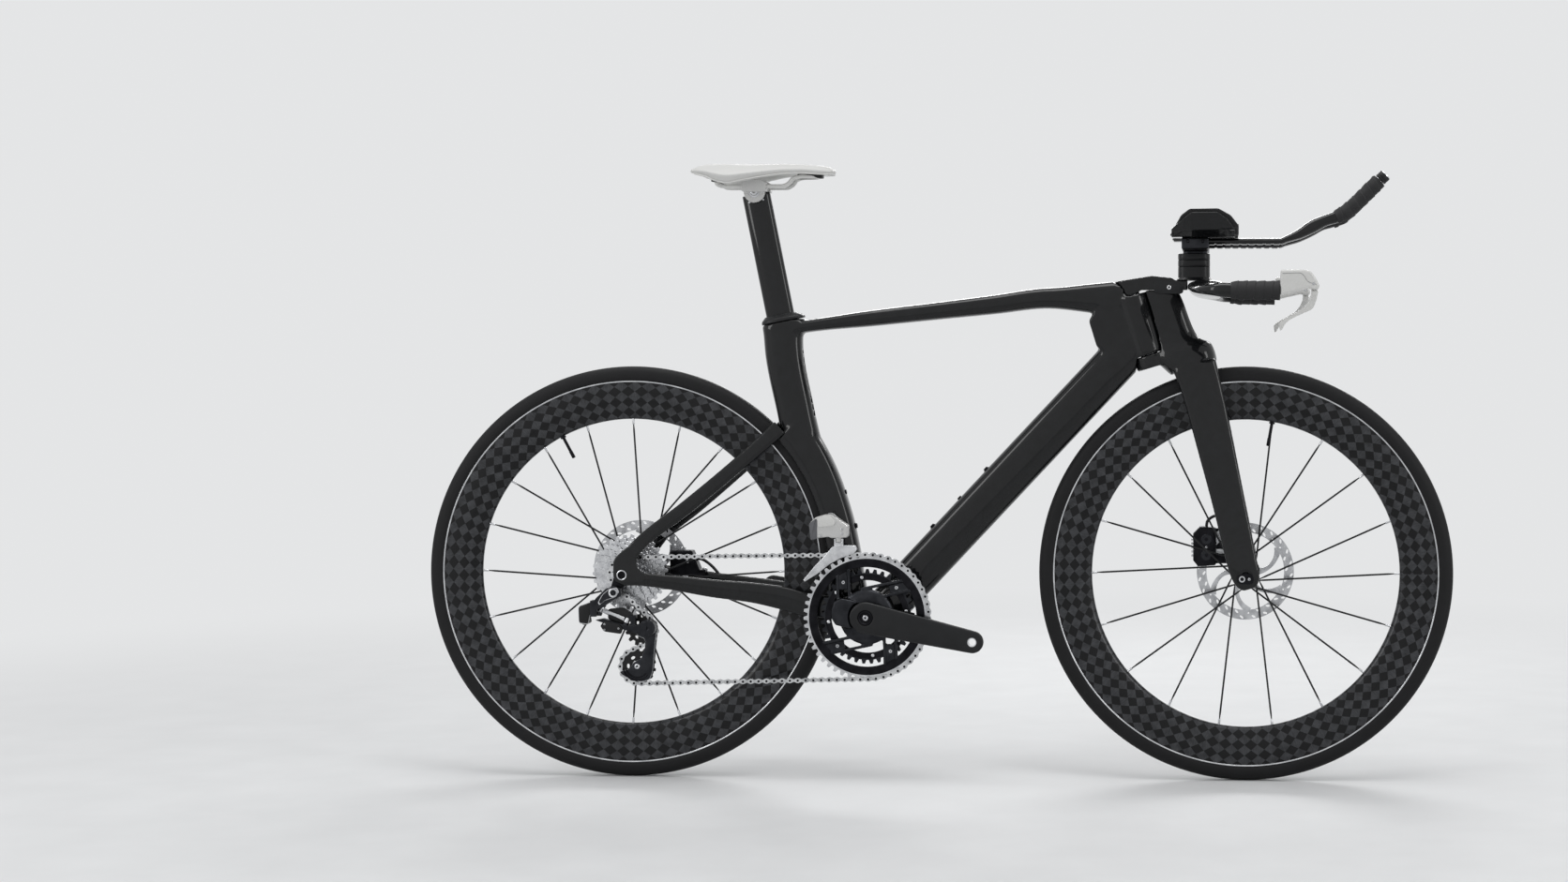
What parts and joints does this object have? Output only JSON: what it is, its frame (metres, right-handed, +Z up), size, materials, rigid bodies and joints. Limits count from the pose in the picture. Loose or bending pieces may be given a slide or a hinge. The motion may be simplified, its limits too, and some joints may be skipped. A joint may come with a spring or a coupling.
{
  "type": "time-trial bicycle",
  "caption": "Time-trial bicycle with an aero carbon frame, deep-rim disc-brake wheels, base bar with arm rests and extension bars, and a chain drive with derailleurs.",
  "frame": {"origin": "on the ground half way between the wheel axles", "axes": "+X forward, +Y to the rider's left, +Z up"},
  "size_m": [1.686, 0.4302, 1.0099],
  "materials": {
    "gloss_carbon": "gloss clear coat over black carbon fibre",
    "satin_carbon": "satin black carbon fibre",
    "tyre_rubber": "matt black rubber",
    "black_tape": "matt black tape",
    "foam_black": "black foam pad",
    "white_plastic": "white moulded plastic",
    "white_cover": "white saddle cover",
    "silver_metal": "bright machined metal",
    "steel": "brushed steel",
    "black_metal": "black anodised aluminium",
    "black_plastic": "black moulded plastic"
  },
  "bodies": {
    "frame": {"main_frame": "gloss_carbon", "rear_stays_right": "gloss_carbon", "rear_stays_left": "gloss_carbon", "seat_clamp": "satin_carbon", "derailleur_hanger": "black_metal", "rear_axle": "black_metal", "front_derailleur_body": "silver_metal", "bottom_bracket": "black_metal", "headset_upper": "steel", "headset_lower": "steel", "rear_caliper": "black_metal", "derailleur_body": "black_metal", "derailleur_battery": "black_plastic", "chain": "silver_metal"},
    "chain_guide": {"front_derailleur_cage": "silver_metal"},
    "derailleur_bar": {"derailleur_link": "silver_metal"},
    "derailleur_head": {"derailleur_knuckle": "black_metal"},
    "jockey_cage": {"derailleur_cage": "black_metal"},
    "upper_jockey": {"jockey_upper": "black_plastic"},
    "lower_jockey": {"jockey_lower": "black_plastic"},
    "post": {"seatpost": "gloss_carbon"},
    "saddle_head": {"saddle_clamp": "silver_metal"},
    "saddle": {"saddle_shell": "white_cover", "saddle_rails": "silver_metal"},
    "steering": {"fork": "gloss_carbon", "stem": "satin_carbon", "base_bar": "satin_carbon", "bar_grip_right": "black_tape", "bar_grip_left": "black_tape", "brake_hood_right": "white_plastic", "brake_hood_left": "white_plastic", "riser": "satin_carbon", "front_caliper": "black_metal", "front_axle": "black_metal", "arm_cup_right": "satin_carbon", "arm_cup_left": "satin_carbon", "arm_pad_right": "foam_black", "arm_pad_left": "foam_black"},
    "lever_right": {"brake_lever_right": "white_plastic"},
    "lever_left": {"brake_lever_left": "white_plastic"},
    "bar_right": {"extension_right": "gloss_carbon", "extension_grip_right": "black_tape"},
    "bar_left": {"extension_left": "gloss_carbon", "extension_grip_left": "black_tape"},
    "button_right": {"shift_button_right": "white_plastic"},
    "button_left": {"shift_button_left": "white_plastic"},
    "front_wheel": {"front_tyre": "tyre_rubber", "front_rim": "gloss_carbon", "front_hub": "black_metal", "front_rotor": "steel"},
    "rear_wheel": {"rear_tyre": "tyre_rubber", "rear_rim": "gloss_carbon", "rear_hub": "black_metal", "rear_rotor": "steel"},
    "cogs": {"cassette": "silver_metal"},
    "cranks": {"crank_arm_right": "satin_carbon", "crank_arm_left": "satin_carbon", "spider": "black_metal", "chainring_outer": "silver_metal", "chainring_inner": "silver_metal"}
  },
  "joints": [
    {"name": "steering_turn", "type": "hinge", "parent": "frame", "child": "steering", "pos_m": [0.33232, 0, 0.74523], "axis": [-0.294, 0, 0.9558], "range_deg": [-40, 40]},
    {"name": "front_wheel_spin", "type": "hinge", "parent": "steering", "child": "front_wheel", "pos_m": [0.505, 0, 0.338], "axis": [0, 1, 0], "continuous": true},
    {"name": "rear_wheel_spin", "type": "hinge", "parent": "frame", "child": "rear_wheel", "pos_m": [-0.505, 0, 0.338], "axis": [0, 1, 0], "continuous": true},
    {"name": "crank_spin", "type": "hinge", "parent": "frame", "child": "cranks", "pos_m": [-0.10998, 0, 0.269], "axis": [0, 1, 0], "continuous": true, "deforming": ["chain"]},
    {"name": "cassette_spin", "type": "hinge", "parent": "frame", "child": "cogs", "pos_m": [-0.505, 0, 0.338], "axis": [0, 1, 0], "continuous": true},
    {"name": "derailleur_shift", "type": "hinge", "parent": "frame", "child": "derailleur_bar", "pos_m": [-0.542, -0.066, 0.281], "axis": [0.3777, 0.2419, 0.8938], "range_deg": [-12, 36]},
    {"name": "derailleur_level", "type": "hinge", "parent": "derailleur_bar", "child": "derailleur_head", "pos_m": [-0.4994, -0.066, 0.263], "axis": [0.3777, 0.2419, 0.8938], "range_deg": [-36, 12]},
    {"name": "cage_swing", "type": "hinge", "parent": "derailleur_head", "child": "jockey_cage", "pos_m": [-0.466, -0.055, 0.251], "axis": [0, 1, 0], "range_deg": [-25, 25], "stiffness_Nm_per_rad": 1.5},
    {"name": "upper_jockey_spin", "type": "hinge", "parent": "jockey_cage", "child": "upper_jockey", "pos_m": [-0.4796, -0.05, 0.2458], "axis": [0, 1, 0], "continuous": true},
    {"name": "lower_jockey_spin", "type": "hinge", "parent": "jockey_cage", "child": "lower_jockey", "pos_m": [-0.4857, -0.05, 0.187], "axis": [0, 1, 0], "continuous": true},
    {"name": "chain_guide_slide", "type": "slide", "parent": "frame", "child": "chain_guide", "axis": [0, 1, 0], "range_m": [0, 0.007]},
    {"name": "seatpost_slide", "type": "slide", "parent": "frame", "child": "post", "axis": [-0.1977, 0, 0.9803], "range_m": [-0.02, 0.03]},
    {"name": "saddle_tilt", "type": "hinge", "parent": "post", "child": "saddle_head", "pos_m": [-0.3014, 0, 0.96285], "axis": [0, 1, 0], "range_deg": [-6, 6]},
    {"name": "saddle_slide", "type": "slide", "parent": "saddle_head", "child": "saddle", "axis": [1, 0, 0], "range_m": [-0.01, 0.01]},
    {"name": "lever_right_pull", "type": "hinge", "parent": "steering", "child": "lever_right", "pos_m": [0.6083, -0.2, 0.8055], "axis": [0, 1, 0], "range_deg": [0, 14], "stiffness_Nm_per_rad": 2},
    {"name": "lever_left_pull", "type": "hinge", "parent": "steering", "child": "lever_left", "pos_m": [0.6083, 0.2, 0.8055], "axis": [0, 1, 0], "range_deg": [0, 14], "stiffness_Nm_per_rad": 2},
    {"name": "extension_right_slide", "type": "slide", "parent": "steering", "child": "bar_right", "axis": [1, 0, 0], "range_m": [-0.003, 0.04]},
    {"name": "extension_left_slide", "type": "slide", "parent": "steering", "child": "bar_left", "axis": [1, 0, 0], "range_m": [-0.003, 0.04]},
    {"name": "button_right_press", "type": "slide", "parent": "bar_right", "child": "button_right", "axis": [-0.7188, 0, -0.6952], "range_m": [0, 0.001], "stiffness_N_per_m": 1500},
    {"name": "button_left_press", "type": "slide", "parent": "bar_left", "child": "button_left", "axis": [-0.7188, 0, -0.6952], "range_m": [0, 0.001], "stiffness_N_per_m": 1500}
  ],
  "couplings": [
    {"joint": "cassette_spin", "follows": "crank_spin", "ratio": 3.8462},
    {"joint": "upper_jockey_spin", "follows": "crank_spin", "ratio": -4.1667},
    {"joint": "lower_jockey_spin", "follows": "crank_spin", "ratio": 3.5714},
    {"joint": "derailleur_level", "follows": "derailleur_shift", "ratio": -1}
  ]
}
